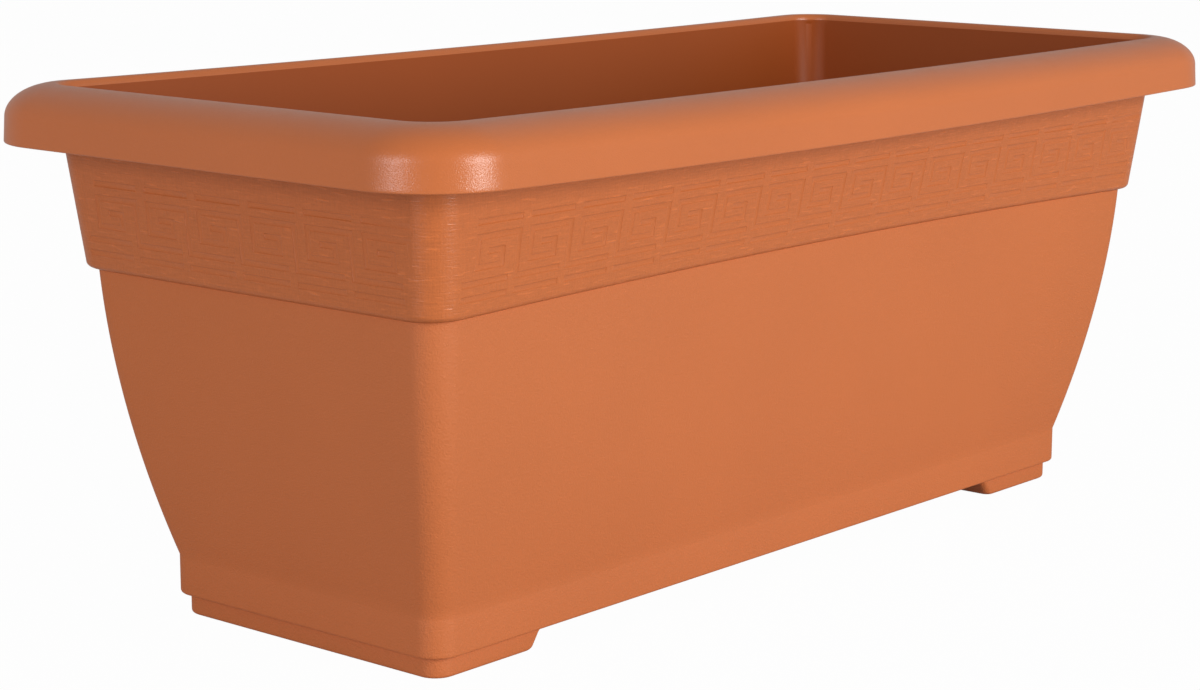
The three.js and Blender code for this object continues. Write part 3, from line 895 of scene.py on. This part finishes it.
def frieze_tree(nominal):
    """Geometry Nodes: lays the keys along all four sides, fitted to each side's length."""
    g = ShapeTree("Greek key frieze", Object=", ".join(KEY_TESTS), **ROUND_INPUTS)
    pieces = [(g.add("GeometryNodeObjectInfo", {"Object": g.input(title), "As Instance": True},
                     output="Geometry"), test) for title, test in KEY_TESTS.items()]
    return g.finish(all_sides(g, pieces, nominal), g.input("Material"))


def frieze_cutters(t, f, section, material):
    """The whole frieze as cutters on the four sloped faces of the band."""
    corner = section.band_inset + t.band_radius - f.run_on
    onto_face = (Matrix.Translation((0, section.band_inset, section.face_bottom))
                 @ Matrix.Rotation(QUARTER + math.atan(section.slope), 4, "X"))
    holders = {}
    for title, unit in zip(KEY_TESTS, key_units(f)):
        unit.transform(onto_face)
        holders[title] = placed(title, unit)
    values = {"Half Length": t.length / 2, "Half Width": t.width / 2, "Material": material,
              **holders}
    for side, size in (("Side", t.length), ("End", t.width)):
        run = size - 2 * corner
        number = max(1, round(run / f.pitch))
        values[side + " Count"] = number
        values[side + " Pitch"] = run / number
    result = run_tree(frieze_tree(f.pitch), bpy.data.meshes.new("empty"), values)
    for holder in holders.values():
        bpy.data.objects.remove(holder)
    return result


# ---------- how the long walls shrank in the mould ----------


def shrink(mesh, t, section):
    """Draws the long walls' middles in, lifts the band's lower edge and rolls the rim down."""
    co = np.empty(len(mesh.vertices) * 3, np.float32)
    mesh.vertices.foreach_get("co", co)
    x, y, z = co.reshape(-1, 3).astype(float).T
    reach = t.length / 2 - section.wall_inset
    middle = np.clip(1 - (x / reach) ** 2, 0, 1)
    upper = (t.height - z) / (t.height - section.band_bottom)
    lower = (z - t.plinth_top) / (section.band_bottom - t.plinth_top)
    lean = np.clip(np.minimum(upper, lower), 0, 1)
    rise = np.clip(np.minimum((section.band_top - z) / t.band_height, lower), 0, 1)
    half_width = t.width / 2 - np.interp(
        z, [0, t.plinth_top, section.band_bottom, t.height],
        [t.plinth_inset, t.plinth_inset, section.wall_inset, t.rim_width])
    high = np.clip((z - section.band_bottom) / t.band_height, 0, 1)
    outer = np.clip((np.abs(y) - t.width / 2 + t.rim_width) / t.rim_width, 0, 1)
    new_y = y * (1 - t.draw_in * lean * middle / half_width)
    new_z = z + middle * (t.lift * rise - t.sag * high - t.roll * outer * high)
    mesh.vertices.foreach_set("co", np.stack([x, new_y, new_z], 1).astype(np.float32).ravel())
    mesh.update()
    return mesh


# ---------- materials ----------


class Finish(Graph):
    """A material whose shader is written as Python expressions."""

    def __init__(self, name):
        self.material = bpy.data.materials.new(name)
        self.material.use_nodes = True
        super().__init__(self.material.node_tree)
        self.object_place = self.add("ShaderNodeTexCoord").other("Object")
        self.panel_place = self.add("ShaderNodeUVMap", uv_map="panel")

    def noise(self, scale, detail=3.0, roughness=0.5, vector=None):
        """A noise from 0 to 1, scale in lumps per metre."""
        return self.add("ShaderNodeTexNoise", {
            "Vector": vector or self.object_place, "Scale": scale, "Detail": detail,
            "Roughness": roughness})

    def threads(self, along, up, detail=3.0, roughness=0.6):
        """A noise on the unrolled band, with its lumps per metre along the band and up it."""
        stretched = self.add("ShaderNodeVectorMath", {0: self.panel_place, 1: (along, up, 1.0)},
                             operation="MULTIPLY")
        return self.noise(1.0, detail, roughness, stretched)

    def uneven(self, level, scale, swing, detail=3.0, roughness=0.5):
        """A number that wavers round a level."""
        return level + (self.noise(scale, detail, roughness) - 0.5) * swing

    def mix(self, factor, a, b):
        return self.add("ShaderNodeMix", {0: factor, 6: a, 7: b}, output=2, data_type="RGBA")

    def bump(self, height, strength, distance):
        return self.add("ShaderNodeBump", {
            "Height": height, "Strength": strength, "Distance": distance})

    def surface(self, base, roughness, normal, specular):
        shader = self.add("ShaderNodeBsdfPrincipled", {
            "Base Color": base, "Roughness": roughness, "Normal": normal,
            "Specular IOR Level": specular})
        self.add("ShaderNodeOutputMaterial", {"Surface": shader})
        return self.material


def opaque(rgb, gain):
    return (*(min(1.0, c * gain) for c in rgb), 1.0)


def moulded_colour(g, rgb):
    """Plastic pigment: slow cloudy shifts and a fine speckle round the base colour."""
    clouds = g.noise(7.0, 2.0)
    speckle = g.noise(900.0, 2.0)
    tone = g.clamp(clouds * 0.7 + speckle * 0.3)
    return g.mix(tone, opaque(rgb, 0.92), opaque(rgb, 1.08))


def plastic(name, rgb, roughness, wear, grain, relief, specular=0.5):
    """Moulded plastic. wear is the lumps and swing of its roughness, grain is the noise of its
    skin, and relief is the skin's strength and depth."""
    g = Finish(name)
    skin = g.noise(*grain)
    return g.surface(moulded_colour(g, rgb), g.uneven(roughness, *wear), g.bump(skin, *relief),
                     specular)


def small_plastic(name, rgb, roughness):
    """Moulded plastic for the small pieces."""
    return plastic(name, rgb, roughness, (60.0, 0.1), (900.0, 2.0), (0.2, 0.0002))


def band_plastic(look):
    """Plastic with a brushed, linen-like skin: fine level and upright scratches."""
    g = Finish("terracotta_band")
    level = g.threads(70.0, 900.0)
    upright = g.threads(900.0, 70.0)
    scratch = g.clamp((g.threads(70.0, 430.0, 1.0, 0.5) - 0.62) * 7.0)
    pits = g.noise(850.0, 2.0, 0.6)
    linen = level * 0.4 + upright * 0.22 + scratch * 0.28 + pits * 0.25
    tone = g.clamp((linen - 0.5) * 2.4 + 0.5)
    base = g.mix(tone, opaque(look.terracotta, 0.82), opaque(look.terracotta, 1.16))
    roughness = look.band_gloss + (0.5 - linen) * 0.35
    return g.surface(base, roughness, g.bump(linen, 0.8, 0.0007), 0.4)


# ---------- makers ----------


class PLANTER_OT_trough(bpy.types.Operator):
    """Builds the moulded trough"""

    bl_idname = "planter.trough"
    bl_label = "Trough"

    def execute(self, context):
        scene = context.scene
        t, f, look = scene.planter_trough, scene.planter_frieze, scene.planter_plastic
        section = Section(t)
        rim = plastic("terracotta_rim", look.terracotta, look.rim_gloss, (45.0, 0.12, 4.0, 0.6),
                      (1300.0, 2.0), (0.6, 0.0003), 0.55)
        band = band_plastic(look)
        wall = plastic("terracotta_wall", look.terracotta, look.wall_gloss, (25.0, 0.08),
                       (800.0, 3.0, 0.6), (0.7, 0.0007))
        # Painted shade: the inside faces, the floor, the feet's pockets and the drain holes get
        # the darker inside colour.
        inside = plastic("terracotta_inside", look.terracotta_inside, 0.5, (30.0, 0.1),
                         (500.0, 2.0), (0.2, 0.0002), 0.3)
        straight = section.band_inset + t.band_radius
        values = {
            "Half Length": t.length / 2, "Half Width": t.width / 2,
            "Corner Steps": 20, "End Steps": 12, "Side Steps": 26,
            "Corner Run": t.band_radius * QUARTER, "End Run": t.width - 2 * straight,
            "Side Run": t.length - 2 * straight, **dict(zip(FINISHES, (rim, band, wall, inside))),
        }
        skin = run_tree(trough_tree(), section_mesh(section.stations()), values)
        floor_middle = t.foot_height + t.wall / 2
        both_ends = (Matrix.Identity(4), Matrix.Rotation(math.pi, 4, "Z"))
        feet = moved(foot_solid(t, 0.0, 0.0, floor_middle), *both_ends)
        pockets = moved(foot_solid(t, t.wall, t.wall, section.floor_top + t.wall), *both_ends)
        drains = drain_cutters(t, section)
        for mesh, material in ((feet, wall), (pockets, inside), (drains, inside)):
            paint(mesh, material)
        mesh = combined(
            closed_ends(skin, wall, inside, floor_middle),
            ("UNION", feet), ("UNION", gussets(t, section, wall)), ("DIFFERENCE", pockets),
            ("DIFFERENCE", drains), ("DIFFERENCE", frieze_cutters(t, f, section, band)))
        shrink(without_slivers(mesh), t, section)
        finished("trough_moulding", mesh, "trough", ["trough"])
        return {"FINISHED"}


def slot_tree():
    """Geometry Nodes: stands a slot's cutter on every point of a rectangular pattern."""
    g = ShapeTree("Grid slots", Int="Columns, Rows", Float="Pitch X, Pitch Y, Middle X",
                  Material="Material")
    columns, rows = g.input("Columns"), g.input("Rows")
    pattern = g.add("GeometryNodeMeshGrid", {
        "Size X": (columns - 1) * g.input("Pitch X"), "Size Y": (rows - 1) * g.input("Pitch Y"),
        "Vertices X": columns, "Vertices Y": rows})
    pattern = g.add("GeometryNodeTransform", {
        "Geometry": pattern, "Translation": g.vector(g.input("Middle X"), 0.0, 0.0)})
    slots = g.add("GeometryNodeInstanceOnPoints",
                  {"Points": pattern, "Instance": g.input("Geometry")})
    return g.finish(slots, g.input("Material"))


def slot_cutter(s, low, high):
    """A slot with round ends and a small chamfer at its top."""
    half_line = s.slot_width / 2
    middle = s.slot_length / 2 - half_line
    outline = []
    for side in (0, 1):
        for step in range(9):
            angle = math.pi * (side + step / 8)
            outline.append((half_line * math.cos(angle),
                            half_line * math.sin(angle) + (-middle if side else middle)))
    levels = ((low - 0.001, 0), (high - 0.0005, 0), (high + 0.0005, 0.001))
    return loft([[(x * (1 + cut / half_line), y + math.copysign(cut, y), z) for x, y in outline]
                 for z, cut in levels])


def grid_mesh(t, s, section, material):
    """The right drainage grid: a slotted plate with a skirt and six plus-shaped legs."""
    inset = t.plinth_inset + t.wall + s.clearance
    x0, x1, half_y = s.clearance / 2, t.length / 2 - inset, t.width / 2 - inset
    r0, r1 = s.clearance + s.rib, t.plinth_radius - t.wall - s.clearance
    top = t.plinth_top + t.wall / 2
    low = top - s.plate
    foot = low - s.skirt
    edge, past = 0.0006, 0.001

    def ring(cut, z):
        return rounded_ring(x0 + cut, x1 - cut, half_y - cut, r0 - cut, r1 - cut, z)

    slab = loft([ring(edge / 2, foot), ring(0, foot + edge / 2), ring(0, top - edge),
                 ring(edge * 0.3, top - edge * 0.3), ring(edge, top)])
    hollow = loft([ring(s.rib, foot - past), ring(s.rib, low - edge), ring(s.rib + edge, low)])
    half_slot = s.slot_length / 2
    xs = spread(x0 + s.margin, x1 - s.margin, s.slot_pitch_x)
    ys = spread(-half_y + s.margin + half_slot, half_y - s.margin - half_slot, s.slot_pitch_y)
    slots = run_tree(slot_tree(), slot_cutter(s, low, top), {
        "Columns": len(xs), "Rows": len(ys), "Pitch X": s.slot_pitch_x,
        "Pitch Y": s.slot_pitch_y, "Middle X": (xs[0] + xs[-1]) / 2, "Material": material})

    raised = raised_reach(t)
    first, last = x0 + s.leg_inset, raised + t.foot_slant + t.foot_length / 2
    row = half_y - s.leg_inset
    long, thin, high = s.leg_span / 2, s.rib / 2, top - s.plate / 2
    steps = [("DIFFERENCE", hollow), ("DIFFERENCE", slots)]
    for x in (first, (first + last) / 2, last):
        stand = (t.wall if x > raised else section.floor_top) + s.gap
        for y in (-row, row):
            for dx, dy in ((long, thin), (thin, long)):
                fin = block((x - dx, y - dy, stand), (x + dx, y + dy, high), 0.0004)
                steps.append(("UNION", fin))
    for mesh in (slab, *(tool for _, tool in steps)):
        if not mesh.materials:
            paint(mesh, material)
    return combined(slab, *steps)


class PLANTER_OT_grids(bpy.types.Operator):
    """Builds the two slotted drainage grids"""

    bl_idname = "planter.grids"
    bl_label = "Drainage Grids"

    def execute(self, context):
        scene = context.scene
        t, s, look = scene.planter_trough, scene.planter_grids, scene.planter_plastic
        material = small_plastic("grid_plastic", look.brown, 0.6)
        right = grid_mesh(t, s, Section(t), material)
        left = moved(right, Matrix.Rotation(math.pi, 4, "Z"))
        paint(left, material)
        for side, mesh in (("left", left), ("right", right)):
            finished(f"grid_{side}_plate", mesh, f"grid_{side}",
                     [f"drain_grid_{side}"])
        return {"FINISHED"}


def plug_mesh(t, s, section, material):
    """A hollow push-in plug with a rounded flange and a grip bar."""
    seat, top = t.foot_height - s.gap, section.floor_top + s.proud
    under = seat - s.flange
    stem = t.drain_radius - s.gap
    bore = stem - s.wall
    soft, slight = 0.0009, 0.0003
    profile = [(0, under)]
    for middle_z, start in ((under + soft, -QUARTER), (seat - soft, 0)):
        profile += [(s.flange_radius - soft + soft * math.cos(start + turn),
                     middle_z + soft * math.sin(start + turn)) for turn in arc(4)]
    profile += [(stem, seat), (stem - s.taper * 0.8, top - 0.0005),
                (stem - s.taper - slight, top), (bore - s.taper + slight, top),
                (bore - s.taper, top - 0.0004), (bore - s.taper, seat), (0, seat)]
    body = turned(profile, 56)
    half_grip, half_bar = s.grip_length / 2, s.grip_thickness / 2
    grip = block((-half_grip, -half_bar, under - s.grip_height),
                 (half_grip, half_bar, under + 0.001), 0.0006)
    paint(body, material)
    paint(grip, material)
    return combined(body, ("UNION", grip))


class PLANTER_OT_plugs(bpy.types.Operator):
    """Builds the push-in drain plugs"""

    bl_idname = "planter.plugs"
    bl_label = "Drain Plugs"

    def execute(self, context):
        scene = context.scene
        t, s, look = scene.planter_trough, scene.planter_plugs, scene.planter_plastic
        material = small_plastic("plug_plastic", look.plug, 0.5)
        plug = plug_mesh(t, s, Section(t), material)
        for number, x in enumerate(drain_places(t), 1):
            mesh = moved(plug, Matrix.Translation((x, 0, 0)))
            paint(mesh, material)
            finished(f"plug_{number}_cap", mesh, f"plug_{number}",
                     [f"drain_plug_{number}"])
        return {"FINISHED"}


# ---------- studio ----------


def ray_kinds(g):
    """Light Path's tests for camera rays, reflections and rays that pass through."""
    path = g.add("ShaderNodeLightPath")
    return path, path.other("Is Glossy Ray"), path.other("Is Transmission Ray")


def floor_white():
    """A floor that the camera sees as white, with a share of the shadow kept."""
    g = Finish("floor_white")
    camera, glossy, through = ray_kinds(g)
    seen = g.clamp(camera + glossy * FLOOR_SHEEN + through) * (1 - SHADOW_KEPT)
    plain = g.add("ShaderNodeBsdfPrincipled", {"Base Color": FLOOR_GREY, "Roughness": 0.9})
    white = g.add("ShaderNodeEmission", {"Color": WHITE, "Strength": 1.0})
    mixed = g.add("ShaderNodeMixShader", {0: seen, 1: plain, 2: white})
    g.add("ShaderNodeOutputMaterial", {"Surface": mixed})
    return g.material


def white_sky(world_level):
    """A world that the camera sees as white and that lights the scene more softly."""
    world = bpy.data.worlds.new("sky")
    world.use_nodes = True
    g = Graph(world.node_tree)
    camera, glossy, through = ray_kinds(g)
    seen = g.clamp(camera + through)
    unseen = world_level + glossy * (SKY_SHEEN - world_level)
    level = seen + (1 - seen) * unseen
    sky = g.add("ShaderNodeBackground", {"Color": WHITE, "Strength": level})
    g.add("ShaderNodeOutputWorld", {"Surface": sky})
    return world


def area_lamp(name, place, power, tint=(1.0, 1.0, 1.0)):
    """An oblong lamp that faces the planter."""
    data = bpy.data.lights.new(name, "AREA")
    data.shape, data.energy, data.color = "RECTANGLE", power, tint
    data.size, data.size_y = LAMP_SIZE
    lamp = placed(name, data)
    lamp.location = place
    aim = Vector(LAMP_AIM) - Vector(place)
    lamp.rotation_euler = aim.to_track_quat("-Z", "Y").to_euler()


def camera_rotation(yaw, pitch, roll):
    """Camera axes from a turn to the right of +Y, a tilt down and a roll."""
    forward = Vector((math.sin(yaw) * math.cos(pitch), math.cos(yaw) * math.cos(pitch),
                      -math.sin(pitch)))
    right = Vector((math.cos(yaw), -math.sin(yaw), 0))
    up = right.cross(forward)
    side = right * math.cos(roll) + up * math.sin(roll)
    top = up * math.cos(roll) - right * math.sin(roll)
    return Matrix((side, top, -forward)).transposed()


class PLANTER_OT_studio(bpy.types.Operator):
    """Places the camera, the lamps, the sky and the floor"""

    bl_idname = "planter.studio"
    bl_label = "Studio"

    def execute(self, context):
        scene = context.scene
        studio = scene.planter_studio
        data = bpy.data.cameras.new("camera")
        camera = placed("camera", data)
        camera.location = CAMERA_PLACE
        camera.rotation_euler = camera_rotation(*CAMERA_TURN).to_euler()
        data.sensor_width, data.lens = SENSOR_WIDTH, LENS
        data.shift_x, data.shift_y = LENS_SHIFT
        data.clip_start, data.clip_end = CLIP_RANGE
        scene.camera = camera

        mesh = bpy.data.meshes.new("floor")
        corners = ((-1, -1), (1, -1), (1, 1), (-1, 1))
        mesh.from_pydata([(x * FLOOR_HALF, y * FLOOR_HALF, -FLOOR_DROP) for x, y in corners],
                         [], [(0, 1, 2, 3)])
        floor = placed("floor", mesh)
        paint(mesh, floor_white())

        scene.world = white_sky(studio.world_level)
        area_lamp("key", KEY_PLACE, studio.key_power)
        area_lamp("fill", FILL_PLACE, studio.fill_power, FILL_TINT)
        scene.view_settings.view_transform = "Standard"
        return {"FINISHED"}


class PLANTER_PT_panel(bpy.types.Panel):
    """Sizes, looks and build buttons"""

    bl_label = "Window Box Planter"
    bl_idname = "PLANTER_PT_panel"
    bl_space_type = "VIEW_3D"
    bl_region_type = "UI"
    bl_category = "Planter"

    def draw(self, context):
        layout = self.layout
        for step in STEPS:
            layout.operator(f"planter.{step}")
        for name, group in GROUPS.items():
            box = layout.box()
            box.label(text=group.__doc__)
            settings = getattr(context.scene, name)
            for key in group.__annotations__:
                box.prop(settings, key)


GROUPS = {
    "planter_trough": TroughSizes,
    "planter_frieze": FriezeSizes,
    "planter_grids": GridSizes,
    "planter_plugs": PlugSizes,
    "planter_plastic": PlasticLook,
    "planter_studio": StudioSettings,
}
OPERATORS = (PLANTER_OT_trough, PLANTER_OT_grids, PLANTER_OT_plugs, PLANTER_OT_studio)
STEPS = ("trough", "grids", "plugs", "studio")
CLASSES = (*GROUPS.values(), *OPERATORS, PLANTER_PT_panel)


def register():
    for item in CLASSES:
        bpy.utils.register_class(item)
    for name, group in GROUPS.items():
        setattr(bpy.types.Scene, name, bpy.props.PointerProperty(type=group))


def unregister():
    for name in GROUPS:
        delattr(bpy.types.Scene, name)
    for item in reversed(CLASSES):
        bpy.utils.unregister_class(item)


def main():
    register()
    for step in STEPS:
        getattr(bpy.ops.planter, step)()


if __name__ == "__main__":
    main()
